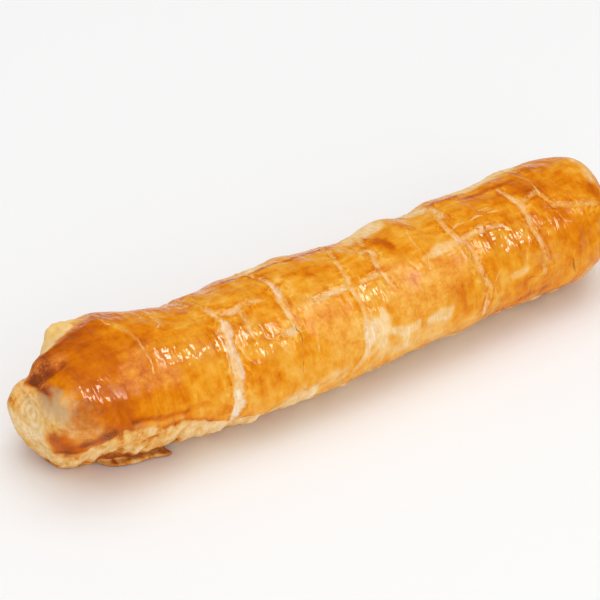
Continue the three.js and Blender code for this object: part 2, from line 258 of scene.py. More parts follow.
# Places where the skin has a thin, dull glaze, written in the same way
DULL = [
    (0.45, 4.0, [(136, 357, 0.5), (139, 366, 1.5), (141, 376, 1.0)]),
    (0.95, 2.5, [(32, 364, 2.0), (36, 374, 2.5), (36, 388, 2.0)]),
    (0.60, 2.5, [(44, 370, 1.0), (56, 362, 1.0)]),
    (0.34, 4.5, [(322, 312, 3.0), (336, 323, 3.5), (346, 334, 3.0)]),
    (0.50, 2.5, [(160, 375, 1.2), (174, 378, 1.2)]),
    (0.40, 2.5, [(118, 386, 1.2), (127, 384, 1.2)]),
    (0.34, 6.0, [(403, 280, 3.0), (412, 298, 4.0), (432, 290, 3.0), (456, 262, 2.0)]),
]

# Places where the egg wash dried thick and bright, written in the same way
BRIGHT = [
    (0.85, 2.5, [(74, 386, 1.5), (84, 390, 2.0), (96, 388, 2.5), (105, 391, 1.5)]),
    (0.50, 1.5, [(117, 393, 0.8), (123, 402, 0.8)]),
    (0.95, 3.0, [(150, 349, 1.5), (166, 354, 2.5), (184, 353, 3.5), (204, 348, 4.0), (220, 350, 2.5)]),
    (0.95, 2.5, [(236, 328, 2.0), (241, 325, 2.0)]),
    (0.82, 3.0, [(254, 326, 3.0), (262, 338, 4.0), (272, 348, 3.0)]),
    (0.95, 2.0, [(294, 304, 1.5), (302, 302, 1.5)]),
    (0.95, 2.0, [(316, 296, 1.5), (321, 286, 1.5)]),
    (0.80, 2.5, [(368, 290, 2.0), (376, 298, 3.0)]),
    (0.32, 3.0, [(398, 272, 3.0), (408, 270, 3.0), (413, 280, 2.0)]),
    (0.95, 2.0, [(464, 246, 1.5), (466, 254, 1.5)]),
    (0.95, 3.5, [(488, 234, 3.0), (500, 242, 4.0), (514, 236, 4.0), (522, 228, 3.0)]),
    (0.60, 2.5, [(542, 230, 2.0), (552, 228, 2.0)]),
    (0.60, 2.5, [(86, 321, 1.0), (102, 316, 1.5), (122, 319, 1.5), (142, 314, 1.0)]),
    (0.60, 2.5, [(170, 308, 1.0), (190, 300, 1.5), (212, 292, 1.5), (236, 284, 1.0)]),
    (0.50, 2.0, [(290, 263, 0.8), (314, 256, 1.0), (338, 249, 1.0)]),
    (0.50, 2.5, [(520, 172, 1.0), (540, 166, 1.2), (560, 163, 1.0)]),
]

# Painted shade under the hood's overhang, as a grey tint on the dough, and the rust-brown patch at the toe,
# written in the same way
HOOD_SHADE = [(0.9, 4.0, [(47, 400, 1.5), (55, 402, 2.5), (60, 410, 2.0)])]
RUSTY = [(0.86, 4.6, [(58, 444, 1.0), (62, 448, 1.4), (67, 452, 1.0)])]

# Unglazed dough that shows on the crust, and two strokes of painted sheen along the hood, written in the same
# way
PALE = [
    (0.55, 2.2, [(57, 398, 1.2), (62, 403, 1.8), (64, 411, 1.5)]),
    (0.95, 4.0, [(20, 396, 3.0), (20, 412, 4.0), (26, 430, 4.0), (38, 446, 3.5), (52, 458, 2.5)]),
    (0.80, 1.2, [(72, 463, 1.2), (88, 461, 1.2), (104, 455, 1.6), (120, 450, 1.2)]),
    (0.60, 2.5, [(572, 160, 0.5), (584, 166, 1.0), (590, 178, 0.8)]),
    (0.62, 1.1, [(382, 311, 0.7), (385, 319, 1.3), (386, 328, 1.5), (384, 338, 1.1), (381, 347, 0.6)]),
    (0.62, 1.1, [(371, 319, 1.0), (378, 327, 1.7), (379, 336, 1.7), (376, 346, 1.1)]),
    (0.62, 1.4, [(430, 320, 0.6), (436, 317, 1.5), (443, 314, 1.5), (450, 311, 0.8)]),
    (0.58, 1.0, [(393, 331, 0.5), (400, 330, 1.0), (407, 331, 1.8), (413, 328, 1.3), (419, 322, 0.6)]),
    (0.45, 1.0, [(407, 334, 1.1), (407, 341, 0.4)]),
    (0.46, 1.2, [(435, 251, 0.9), (442, 248, 1.3), (449, 245, 1.3), (455, 243, 1.0)]),
    (0.35, 1.0, [(424, 258, 0.3), (430, 255, 0.6), (436, 252, 0.7)]),
    (0.50, 0.9, [(513, 277, 0.6), (518, 274, 0.9), (524, 271, 0.9), (528, 269, 0.4)]),
    (0.35, 3.0, [(385, 352, 2.0), (410, 342, 2.5), (440, 328, 2.0)]),
    (0.20, 2.5, [(535, 262, 2.0), (560, 250, 2.5), (580, 240, 2.0)]),
    (0.40, 2.0, [(290, 400, 1.5), (320, 386, 1.5), (345, 372, 1.5)]),
    (0.30, 6.0, [(72, 408, 3.0), (82, 420, 4.0), (92, 432, 3.0)]),
    # Painted sheen along the hood's crease, drawn as pale dough
    (0.26, 0.8, [(92, 316, 0.2), (104, 321, 0.3), (117, 327, 0.3), (128, 334, 0.2), (136, 342, 0.1)]),
    (0.25, 1.6, [(140, 427, 1.0), (154, 426, 1.2), (168, 422, 1.0), (180, 418, 0.6)]),
    # Painted sheen along the hood's rim, drawn as pale dough
    (0.42, 1.0, [(45, 351, 0.5), (56, 341, 0.7), (67, 331, 0.8), (78, 322, 0.8), (88, 316, 0.5)]),
]

# Runs of the sheet's pale lap along the back: first and last station in mm, upper edge in degrees from the
# top (minus is back), and the lower edge of them all
LAP_RUNS = [(-35, -21, -31), (11, 33, -25), (43, 54, -26), (67, 108, -28)]
LAP_FOOT = -62

# The pale end of the roll, which fades into the glazed front below the hood
END_FADE = [
    (0.97, 7.5, [(30, 402, 3.0), (38, 412, 4.0), (42, 430, 4.0)]),
    (0.20, 6.0, [(62, 402, 2.0), (68, 416, 3.0), (72, 432, 3.0)]),
]
HOOD_EDGE = 37.5  # mm above the tray where the hood's glaze ends over it
# The bare ear behind the nose: its front, and its middle in mm
EAR_FRONT = [
    (0.98, 1.2, [
        (46, 331, 2.6), (50, 327, 2.6), (57, 327, 2.8), (64, 326, 2.2), (57, 335, 2.6), (48, 341, 3.4),
        (45, 350, 2.8),
    ]),
]
EAR = (-107.0, 25.5, 39.0)
SWIRL = (31, 412)  # pixel in the middle of the coiled sheet on the end

# The lower edge of the glazed crust along the front, on the photograph
HEM = [
    (86, 452), (100, 445), (112, 439), (124, 432), (140, 430), (152, 429), (164, 430), (174, 426), (184, 422),
    (198, 420), (215, 421), (232, 421), (246, 417), (262, 414), (278, 406), (290, 399), (304, 391),
    (320, 384),
]
HEM_BEYOND = 9.0  # mm above the tray where the photograph shows no edge
HEM_BEHIND = 11.0  # mm above the tray along the back

# Unevenness of the crust: how far it reaches, lump size in mm, seed, and stretch along each axis if any
EVEN = (1, 1, 1)
LUMPS = {
    "fine fray": (1.3, 2.2, 38.3, (1, 0.35, 0.35)),
    "wide fray": (0.9, 5, 39.1),
    "tear waver": (0.45, 3.5, 11.3),
    "tear notch": (0.20, 2.4, 21.7),
    "tear toast": (1.0, 6, 37.7),
    "torn dough": (0.36, 2.4, 7.9),
    "tear lip": (0.168, 5, 2.2),
    "lap end": (5, 8, 34.7),
    "lap edge": (7, 10, 35.9, (0.5, 1, 1)),
    "lap fray": (4, 3.5, 36.3, (0.4, 1, 1)),
    "hem sway": (1.2, 9, 4.7),
    "hem bite": (0.9, 3.4, 5.7),
    "hem toast": (1.0, 7, 20.2),
    "hood edge": (1.5, 7, 23.5),
    "far rim": (0.15, 8, 28.1),
    "far edge": (4, 11, 29.6),
    "far fray": (2, 4, 30.2),
    "far dent": (0.6, 7, 31.4),
    "ear edge": (3.5, 7, 27.3),
    "ear fray": (1.5, 3, 34.6),
    "ear rib": (1.5, 6, 18.8),
    "back wash": (1.0, 20, 33.1),
    "scallop": (1.0, 5, 16.3, (1, 0.3, 0.3)),
    "small scallop": (0.6, 2.6, 17.1, (1, 0.4, 0.4)),
    "layer": (2.5, 14, 6.1),
    "coil": (2.5, 7, 8.8),
    "far coil": (3, 11, 8.8),
    "broad browning": (0.06, 22, 13.1),
    "small browning": (0.05, 9, 15.9),
    "puff": (0.22, 8, 1.5),
    "blister": (0.12, 3.2, 3.3),
    "crease": (0.10, 2.4, 5.1, (1, 0.4, 0.4)),
    "bare dough": (0.15, 2.0, 9.4),
    "burnt crust": (1.2, 2.4, 25.1),
    "burnt grit": (0.72, 1.4, 26.4),
}

# Reach of the strokes and lines, in mm unless said
FAR_FROM_TEARS = 8.0
STROKE_REACH = 3  # times its softness
FRAY_REACH = 4  # more for its frayed edge
FOLD_REACH = 1  # more for a fold
FRAY_FROM = 2.0  # softness from which a stroke is fully frayed
SEAM_REACH = 1.5
SEAM_TAPER = 0.5  # how fast a thin line narrows past its end
PIXEL_STEP = 1.0  # pixels between the points of a stroke
WRAP_STEP = 0.7  # mm or degrees between the points of a tear over the back
BATCH = 4000  # vertices measured at a time

# Where the crust's fields pass from 0 to 1
CREAM_FADE = (2.5, 0)  # mm from a tear's edge
TEAR_WAVER_FADE = (4, 2)  # mm from a tear's edge
GLAZE_AT_TEAR = (-0.2, 0.5)  # mm from a tear's edge
LAP_END_FADE = 4  # mm to each side
LAP_TOP_FADE = 7  # degrees to each side
LAP_FOOT_FADE = 12  # degrees to each side
HEM_FADE = 0.9  # mm to each side
HEM_RUN_OUT = (-30, 20)  # stations in mm
HOOD_FADE = 2.5  # mm to each side
BACK_SIDE = (8, 16)  # mm behind the middle of the log's box
HOOD_RISE = 10  # mm by which the hood's edge is higher behind
END_START = 90  # mm from the middle of the log
END_FACE = (-0.75, -1.0)  # lengthwise part of the normal
FAR_FACE = (0.35, 0.80)  # the same on the plain end
FAR_GLAZE = (42, 32)  # mm above the tray
EAR_FADE = (15, 6)  # mm from the middle of the ear
EAR_TURNED = (0.42, 0.28)  # part of the normal towards the eye
UNSEEN = (0.1, -0.2)  # the same
BACK_WASH = (0.0, 0.4)  # of its noise
LAP_PALENESS = 0.92
RUST_COVER = 0.8
EAR_DULLNESS = 0.3
EAR_BARENESS = 0.2

# How brown the glaze is along the log: station in mm, then about 0.2 for pale, 0.5 for gold and 1 for burnt
BROWNING = [
    (-135, 0.62), (-110, 0.68), (-75, 0.53), (-58, 0.46), (-20, 0.44), (60, 0.49), (85, 0.55), (135, 0.57),
]
# How much browner each of these makes it, minus for paler
BROWNER = {
    "toast": 1.0,
    "back": 0.06,
    "foot": -0.09,
    # Painted shade along the tray at the front
    "tray contact shade": 0.10,
    "sole": 0.25,
    # Painted shade in the gap over the flake
    "flake gap shade": 0.60,
    "hem line": 0.16,
    "tear rim": 0.09,
    # Painted light and shade on the base's scallops: paler on the puffs, browner in the hollows
    "scallops": -0.34,
    "ear": -0.70,
    "rust": 0.34,
    # Also lightens the painted sheen along the hood's rim and crease
    "bare dough": -0.22,
    "coil": 0.18,
    "far coil": 0.14,
    "pinched end": -0.12,
}
BACK_TURN = (0, -40)  # degrees from the top
FOOT_TURN = (60, 105)
FOOT_RUN = (125, 25)  # stations in mm
# The next two place the painted shade along the tray at the front
TRAY_EDGE = (2.5, 0.5)  # mm above the tray
TRAY_TURN = (0, 40)
SOLE_FACE = (-0.5, -0.9)  # upward part of the normal
# The next five place the painted shade in the gap over the flake
FLAKE_FACE = (-0.1, -0.5)  # the same, in the gap over the flake
FLAKE_START = (-116, -110)
FLAKE_END = (-80, -86)
FLAKE_HEIGHT = (9, 5)
FLAKE_TURN = 60
HEM_LINE_HALF = 0.9  # mm
HEM_LINE_END = -20  # station in mm
TEAR_RIM = 1.1  # mm from a tear's edge
TEAR_RIM_HALF = 0.7

# Fine relief, in mm
TEAR_DEPTH = 0.95
TEAR_SLOPE = (0.3, -0.9)  # from a tear's edge
TORN_DOUGH = (0.1, -0.5)  # the same
LIP_RISE = 0.196
LIP_PLACE = 0.75  # from a tear's edge
LIP_HALF = 0.55
BASE_TUCK = 0.45
BASE_FOOT = 1.0  # above the tray
LAYER_RISE = 0.16
LAYER_STEP = 1.9
SCALLOP_RISE = 1.35
COIL_RISE = 0.25
COIL_STEP = 2.8
COIL_FADE = (12, 4)  # from the middle of the coil
FAR_COIL_RISE = 0.40
FAR_COIL_STEP = 3.4
FAR_COIL_HEIGHT = 20  # above the tray
EAR_RIB_RISE = 0.16
EAR_RIB_STEP = 3.4
OFF_TRAY = (0.05, 1.5)  # above the tray

# Clouds in the crust's finish: size in mm, detail, roughness, stretch along each axis, and bend
CLOUDS = {
    "mottle": (11, 4, 0.60, EVEN, 0),
    "patch": (4, 3, 0.55, EVEN, 0),
    "speck": (1.2, 3, 0.65, EVEN, 0),
    "brushed": (2.8, 2, 0.55, (0.22, 1, 1), 0),
    "wiped": (2.4, 3, 0.60, (1, 0.3, 0.3), 0),
    "drips": (1.8, 3, 0.60, (1, 1, 0.2), 0),
    "strands": (1.3, 3, 0.60, (1, 0.16, 0.16), 0.6),
    "ribs": (1.1, 2, 0.60, (0.25, 1, 1), 0),
    "crazing": (7, 2, 0.55, EVEN, 0),
    "waver": (3, 2, 0.55, EVEN, 0),
    "ripple": (2.6, 1, 0.50, (1, 0.32, 0.32), 0),
    "wrinkle": (5, 1, 0.50, EVEN, 0),
    "pores": (0.6, 2, 0.60, EVEN, 0),
}

# Clouds added up, each by its weight
UNEVEN_GLAZE = {"mottle": 0.60, "patch": 0.42, "speck": 0.16, "wiped": 0.12}
DULL_SPECKS = {"speck": 0.70, "patch": 0.35}
UNEVEN_DOUGH = {"drips": 0.6, "strands": 0.5, "mottle": 0.8, "patch": 0.7, "wiped": 0.9, "speck": 0.3}
STRINGY_CRUMB = {"mottle": 1.2, "patch": 2.0, "ribs": 0.6, "strands": 1.6, "speck": 0.8}
BARE_EDGE = {"mottle": 0.5, "wiped": 0.4, "speck": 0.2}
BARE_FRAY = {"drips": 0.9, "brushed": 0.9}
TEAR_EDGE = {"speck": 2.0, "patch": 2.0, "strands": 0.8}
TEAR_GAPS = {"patch": 1.0, "speck": 0.7}
WASH_RIPPLES = {"ripple": 0.95, "wrinkle": 1.10}

# Thin lines in the finish: how far they waver and fray in mm, their edge in mm, and where they break off
SEAM_LOOKS = {
    "hair": (1.6, 0.8, (0.22, -0.14), (0.30, 0.62)),
    "crack": (1.2, 0.6, (0.06, -0.16), (0.22, 0.50)),
}
SEAM_STRENGTH = 0.7
HAIR_RISE = 0.10  # mm
CRACK_DEPTH = 0.08  # mm

# The glaze
LOW_SIDE = (0.22, 0.42)  # half turns from the top
BRUSHED_TOP = 0.30
WIPED_SIDES = 0.24
DRIPS = 0.60
BROWN_CALM = (0.52, 0.78)  # how brown it is where it gets more even
CALMING = 0.45
CRAZE_FINENESS = 16
CRAZE_EDGE = (0.2, 1)
CRAZE_SPREAD = 8  # mm
CRAZE_REACH = (6, 0)  # mm from a tear's edge
CRAZE_PALENESS = 0.20
DULL_PALENESS = 0.08
DULL_COVER = 0.38

# The bare dough and the crumb in the tears
DOUGH_MIDDLE = 0.40
DOUGH_BROWNING = 0.9
GOLDEN = 0.55  # how brown the crust is where the dough is plain
HOOD_SHADE_COVER = 0.80
FURROW_FINENESS = 11
FURROW_EDGE = (0.1, 1)
DOUGH_FURROWS = 0.30
CRUMB_FURROWS = 0.45
PALE_FURROWS = 0.30  # how much of them the palest crumb loses
CRUMB_DEEPEST = 1.12
CRUMB_CONTRAST = 1.55
BARE_FADE = (0.08, 0.92)
TEAR_FADE = (0.75, -0.5)  # mm from the edge
TEAR_COVER = 0.55  # of the least pale tears
TEAR_GAP_FADE = (0.56, 0.30)
TEAR_GAP_FILL = 0.9  # how much of the gaps the palest tears lose
TEAR_GAP_STRENGTH = 1.3
LIP_LINE = 0.8  # mm from the edge
LIP_LINE_FADE = (0.35, 0.05)
LIP_BREAKS = (0.48, 0.66)
LIP_SPREAD = 4  # mm
LIP_REACH = (1.6, 0.6)  # mm from a tear's edge
LIP_STRENGTH = 0.40

# The shine of the egg wash
RIPPLE_THIN = 0.85  # height of the ripples where the wash is thin
RIPPLE_THICK = 0.45  # how much more where it is thick
PORE_DEPTH = 0.12  # mm in bare dough
PORE_FILL = 0.115  # mm of it that the wash fills
MATT = 0.92  # roughness of bare dough
THIN_SHINE = 0.70
THICK_SHINE = 0.80
COAT = 0.15
COAT_ROUGHNESS = 0.30
THIN_SPECULAR = 0.12

# Colours as they look on a screen, 0 to 255; a range of them has each colour's place in it first
GLAZE = [
    (0.00, (248, 208, 128)),
    (0.22, (243, 185, 86)),
    (0.42, (236, 159, 38)),
    (0.58, (224, 130, 6)),
    (0.72, (204, 102, 2)),
    (0.86, (172, 78, 10)),
    (1.00, (116, 52, 18)),
]
DULL_GLAZE = [
    (0.30, (240, 180, 112)),
    (0.60, (226, 150, 88)),
    (0.90, (150, 78, 40)),
]
DOUGH = [
    (0.00, (248, 222, 176)),
    (0.40, (238, 196, 128)),
    (0.62, (228, 166, 76)),
    (0.80, (208, 122, 40)),
    (1.00, (164, 78, 24)),
]
CRUMB = [
    (0.00, (252, 244, 226)),
    (0.30, (240, 213, 174)),
    (0.55, (240, 194, 116)),
    (0.80, (238, 172, 70)),
    (1.00, (230, 150, 44)),
]
# Grey of the painted shade under the hood's overhang
HOOD_SHADE_TINT = (192, 160, 126)
DOUGH_FURROW_TINT = (222, 158, 88)
CRUMB_FURROW_TINT = (226, 176, 112)
LIP_TINT = (250, 214, 150)
HAIR_TINT = (248, 208, 140)
CRACK_TINT = (150, 80, 22)

# The stage
FLOOR_HALF = 3.0  # m
FLOOR_GREY = 0.93
FLOOR_ROUGHNESS = 0.9
SKY_STRENGTH = 0.56
# Softboxes: direction from the log, distance, width and height in m, power in W, if the gloss sees it, colour
SOFTBOXES = {
    "glint": ((0.334, -0.440, 0.835), 3.0, 1.1, 1.1, 68, True, (1.0, 0.94, 0.84)),
    "front fill": ((-0.35, -0.88, 0.30), 1.5, 1.4, 1.4, 9, False, (1, 1, 1)),
    "top fill": ((0.1, 0.1, 1.0), 1.6, 1.6, 1.6, 13, False, (1, 1, 1)),
    "rim card": ((0.57, 0.81, 0.14), 2.2, 3.0, 1.4, 6, True, (1.0, 0.90, 0.74)),
}


def put_in(name, data):
    """A new object in the scene."""
    made = bpy.data.objects.new(name, data)
    scene.collection.objects.link(made)
    return made


def sight(across, down):
    """Direction from the eye through a pixel of the photograph."""
    middle = FRAME_PIXELS / 2
    return (RIGHT * (across - middle) - UP * (down - middle) - BACK * FOCAL_PIXELS).normalized()


def ease(start, end, value):
    """0 before start, 1 after end, smooth between; start may be the larger."""
    share = np.clip((value - start) / (end - start), 0, 1)
    return share * share * (3 - 2 * share)


def ridge(value, middle, half):
    """1 at the middle, falling off softly to both sides over about the half width."""
    return np.exp(-((value - middle) / half) ** 2)


def rounds(distance, step, waver):
    """Waves from -1 to 1, a step in mm apart, shifted by a waver in radians."""
    return np.sin(distance * 2 * math.pi / step + waver)


def smooth_path(path, step):
    """Points about one step apart on a rounded line through the path's knots."""
    knots = np.array(path, float)
    ends = np.vstack([2 * knots[0] - knots[1], knots, 2 * knots[-1] - knots[-2]])
    points = []
    for i in range(1, len(ends) - 2):
        before, start, end, after = ends[i - 1:i + 3]
        steps = max(2, int(np.linalg.norm((end - start)[:2]) / step))
        for t in np.arange(steps) / steps:
            bend = 2 * before - 5 * start + 4 * end - after
            twist = 3 * start - before - 3 * end + after
            points.append(start + 0.5 * t * ((end - before) + t * (bend + t * twist)))
    points.append(knots[-1])
    return np.array(points)


def smooth_solid(node):
    """The node's solid as one welded mesh of fine, even faces."""
    rough = bmesh.new()
    rough.from_mesh(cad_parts[node].data)
    bmesh.ops.remove_doubles(rough, verts=rough.verts, dist=WELD * MM)
    bmesh.ops.join_triangles(
        rough,
        faces=rough.faces,
        angle_face_threshold=JOIN_FOLD,
        angle_shape_threshold=JOIN_SKEW,
    )
    mesh = bpy.data.meshes.new("rough roll")
    rough.to_mesh(mesh)
    rough.free()
    roll = put_in("rough_roll", mesh)
    rounding = roll.modifiers.new("rounding", "SUBSURF")
    rounding.levels = SMOOTHING_LEVELS
    rounding.render_levels = SMOOTHING_LEVELS
    seen = roll.evaluated_get(bpy.context.evaluated_depsgraph_get())
    fine = bpy.data.meshes.new_from_object(seen)
    bpy.data.objects.remove(roll)
    bpy.data.meshes.remove(mesh)
    return fine


# The smooth roll that the finish and the fine relief go on
crust_mesh = smooth_solid("pastry_log")
count = len(crust_mesh.vertices)
place = np.empty(count * 3)
crust_mesh.vertices.foreach_get("co", place)
place = place.reshape(-1, 3) / MM
facing = np.empty(count * 3)
crust_mesh.vertex_normals.foreach_get("vector", facing)
facing = facing.reshape(-1, 3)
shape = bmesh.new()
shape.from_mesh(crust_mesh)
surface = BVHTree.FromBMesh(shape)
shape.free()

# The bowed middle line of the roll, read from the solid
stations = np.arange(-SPINE_END, SPINE_END + 1, SPINE_STEP)
middles = []
for ring_station in stations:
    ring = place[np.abs(place[:, 0] - ring_station) < RING_HALF, 1]
    middles.append((ring.min() + ring.max()) / 2)
averaging = np.ones(SPINE_AVERAGE) / SPINE_AVERAGE
middles = np.convolve(np.pad(middles, SPINE_AVERAGE // 2, mode="edge"), averaging, mode="valid")


def spine(along):
    """Sideways place of the roll's middle line at a station, in mm."""
    return np.interp(along, stations, middles)


def struck(rays):
    """Where rays meet the crust: points in mm, with the half width given for each."""
    points = []
    for start, heading, half in rays:
        found = surface.ray_cast(start, heading)[0]
        if found is not None:
            points.append((*(found / MM), half))
    return np.array(points).reshape(-1, 4)


def traced(path):
    """A path of pixels laid on the crust."""
    steps = smooth_path(path, PIXEL_STEP)
    return struck((EYE, sight(across, down), half) for across, down, half in steps)


def wrapped(path):
    """A path of stations and turns laid on the crust."""
    rays = []
    for along, degrees, half in smooth_path(path, WRAP_STEP):
        angle = math.radians(degrees)
        middle = Vector((along, spine(along), AXIS_HEIGHT)) * MM
        rays.append((middle, Vector((0, -math.sin(angle), math.cos(angle))), half))
    return struck(rays)


def near_stroke(points, reach):
    """The vertices in the box that lies a reach in mm round a stroke."""
    low = points[:, :3].min(0) - reach
    high = points[:, :3].max(0) + reach
    return np.nonzero(((place > low) & (place < high)).all(1))[0]


def edge_distance(points, reach):
    """Each vertex's distance in mm from the edge of a stroke, minus inside it; reach where it is far."""
    near = near_stroke(points, reach)
    away = np.full(count, float(reach))
    for batch in np.array_split(near, max(1, len(near) // BATCH)):
        gap = np.linalg.norm(place[batch, None, :] - points[None, :, :3], axis=2) - points[None, :, 3]
        away[batch] = np.minimum(gap.min(1), reach)
    return away


def laid_over(strokes):
    """Share from 0 to 1 of soft, frayed strokes laid one over another."""
    left = np.ones(count)
    for amount, softness, path in strokes:
        away = edge_distance(traced(path), softness * STROKE_REACH + FRAY_REACH)
        away = np.maximum(away + frayed * min(1, softness / FRAY_FROM), 0)
        left *= 1 - amount * ridge(away, 0, softness)
    return 1 - left


def grain(name):
    """Smooth noise at every vertex, of the lumps of that name."""
    reach, size, seed, stretch = (*LUMPS[name], EVEN)[:4]
    spots = place * (np.array(stretch, float) / size) + seed
    return reach * np.array([noise.noise(Vector(spot)) for spot in spots])


def seam_fields(paths):
    """Signed distance across thin lines and their half width, minus where no line runs, in mm."""
    side = np.full(count, SEAM_REACH)
    half = np.full(count, -1.0)
    nearest = np.full(count, SEAM_REACH)
    for path in paths:
        points = traced(path)
        run = np.gradient(points[:, :3], axis=0)
        run /= np.linalg.norm(run, axis=1, keepdims=True)
        near = near_stroke(points, SEAM_REACH)
        gap = place[near, None, :] - points[None, :, :3]
        pick = (gap ** 2).sum(2).argmin(1)
        offset = gap[np.arange(len(near)), pick]
        along = (offset * run[pick]).sum(1)
        across = (offset * np.cross(run[pick], facing[near])).sum(1)
        past = np.where(pick == 0, -along, np.where(pick == len(points) - 1, along, 0))
        distance = np.linalg.norm(offset, axis=1)
        win = distance < nearest[near]
        nearest[near[win]] = distance[win]
        side[near[win]] = across[win]
        half[near[win]] = points[pick[win], 3] - SEAM_TAPER * np.maximum(past[win], 0)
    return side, half


def torn_places():
    """Distance in mm from the nearest tear's edge, minus inside it, and how pale the torn dough is."""
    away = np.full(count, FAR_FROM_TEARS)
    paleness = np.zeros(count)
    laid = [(share, traced(path)) for share, path in TEARS.values()]
    laid += [(BACK_PALENESS, wrapped(path)) for path in BACK_TEARS]
    for share, points in laid:
        gap = edge_distance(points, FAR_FROM_TEARS)
        away = np.minimum(away, gap)
        paleness = np.maximum(paleness, share * ease(*CREAM_FADE, gap))
    waver = grain("tear waver") + grain("tear notch")
    return away + waver * ease(*TEAR_WAVER_FADE, away), paleness


def lap_share():
    """Share of the sheet's pale lap along the back."""
    lap = np.zeros(count)
    along = station + grain("lap end")
    round_back = turn + grain("lap edge") + grain("lap fray")
    for start, end, top in LAP_RUNS:
        run = ease(start - LAP_END_FADE, start + LAP_END_FADE, along)
        run *= ease(end + LAP_END_FADE, end - LAP_END_FADE, along)
        lap = np.maximum(lap, run * ease(top + LAP_TOP_FADE, top - LAP_TOP_FADE, round_back))
    return lap * ease(LAP_FOOT - LAP_FOOT_FADE, LAP_FOOT + LAP_FOOT_FADE, round_back)


def hem_edge():
    """Height in mm of the glazed crust's lower edge."""
    drawn = traced([(across, down, 0) for across, down in HEM])
    order = np.argsort(drawn[:, 0])
    front = np.interp(station, drawn[order, 0], drawn[order, 2], right=HEM_BEYOND)
    run_out = ease(*HEM_RUN_OUT, station)
    front = front * (1 - run_out) + HEM_BEYOND * run_out
    return np.where(turn > 0, front, HEM_BEHIND) + grain("hem sway") + grain("hem bite")


def pinched_end():
    """Share of unglazed dough on the pinched end, below the hood."""
    hood_edge = HOOD_EDGE + HOOD_RISE * ease(*BACK_SIDE, place[:, 1])
    below = ease(HOOD_FADE, -HOOD_FADE, height - hood_edge + grain("hood edge"))
    face = ease(*END_FACE, facing[:, 0]) * (station < -END_START)
    return (1 - (1 - laid_over(END_FADE)) * (1 - face)) * below * (1 - RUST_COVER * rusty)


def plain_end():
    """Share of unglazed dough on the plain end."""
    face = ease(*FAR_FACE, facing[:, 0] + grain("far rim")) * (station > END_START)
    return face * ease(*FAR_GLAZE, height + grain("far edge") + grain("far fray"))


def bare_ear():
    """Share of the bare ear, drawn in front and fading out behind."""
    away = np.linalg.norm(place - EAR, axis=1) + grain("ear edge") + grain("ear fray")
    behind = ease(*EAR_FADE, away) * ease(*EAR_TURNED, towards_eye)
    return np.maximum(laid_over(EAR_FRONT), behind)


def end_coils():
    """The rounds of the coiled sheet on the pinched end and on the plain end, from -1 to 1."""
    middle = traced([(*SWIRL, 0), (SWIRL[0] + 1, SWIRL[1], 0)])[0, :3]
    radius = np.linalg.norm(place - middle, axis=1)
    near = rounds(radius, COIL_STEP, grain("coil")) * ease(*COIL_FADE, radius)
    far_radius = np.hypot(place[:, 1] - spine(station), height - FAR_COIL_HEIGHT)
    return near, rounds(far_radius, FAR_COIL_STEP, grain("far coil")) * far_end


def browning():
    """How brown the crust is all over, with painted shade in the gap over the flake and along the tray, and
    painted light and shade on the scallops.
    """
    upward = facing[:, 2]
    front = turn > 0
    # Painted shade in the gap over the flake
    gap_run = ease(*FLAKE_START, station) * ease(*FLAKE_END, station)
    gap_depth = ease(*FLAKE_FACE, upward) * ease(*FLAKE_HEIGHT, height) * (turn > FLAKE_TURN)
    hem_line = ridge(above_hem, 0, HEM_LINE_HALF) * front * (station < HEM_LINE_END)
    shares = {
        "toast": laid_over(TOASTED),
        "back": ease(*BACK_TURN, turn),
        "foot": ease(*FOOT_TURN, turn) * ease(*FOOT_RUN, station),
        # Painted shade along the tray at the front
        "tray contact shade": ease(*TRAY_EDGE, height) * ease(*TRAY_TURN, turn),
        "sole": ease(*SOLE_FACE, upward),
        "flake gap shade": gap_run * gap_depth,
        "hem line": hem_line * (1 + grain("hem toast")),
        "tear rim": ridge(tear, TEAR_RIM, TEAR_RIM_HALF) * (1 + grain("tear toast")),
        # Painted light and shade on the base's scallops: paler on the puffs, browner in the hollows
        "scallops": scallops * under_hem,
        "ear": ear,
        "rust": rusty,
        "bare dough": pale * (1 - rusty),
        "coil": coil,
        "far coil": far_coil,
        "pinched end": near_end,
    }
    brown = np.interp(station, *np.array(BROWNING).T) + grain("broad browning") + grain("small browning")
    for name, share in shares.items():
        brown += BROWNER[name] * share
    return brown


def relief():
    """Height in mm of the fine relief over the solid."""
    glazed = (1 - bare) * ease(*GLAZE_AT_TEAR, tear)
    base = under_hem * (height > BASE_FOOT)
    layers = rounds(height, LAYER_STEP, grain("layer"))
    ribs = rounds(station, EAR_RIB_STEP, grain("ear rib"))
    lift = -TEAR_DEPTH * ease(*TEAR_SLOPE, tear)
    lift += ridge(tear, LIP_PLACE, LIP_HALF) * (LIP_RISE + grain("tear lip"))
    lift += ease(*TORN_DOUGH, tear) * grain("torn dough")
    lift += glazed * (grain("puff") + grain("blister") + grain("crease"))
    lift += base * (LAYER_RISE * layers + SCALLOP_RISE * scallops - BASE_TUCK)
    lift += COIL_RISE * coil + FAR_COIL_RISE * far_coil + far_end * grain("far dent")
    lift += bare * grain("bare dough") + EAR_RIB_RISE * ear * ribs
    lift += laid_over(BURNT_NOSE) * (grain("burnt crust") + grain("burnt grit"))
    for rise, softness, path in FOLDS:
        away = np.maximum(edge_distance(traced(path), softness * STROKE_REACH + FOLD_REACH), 0)
        lift += rise * ridge(away, 0, softness)
    return lift * ease(*OFF_TRAY, height)


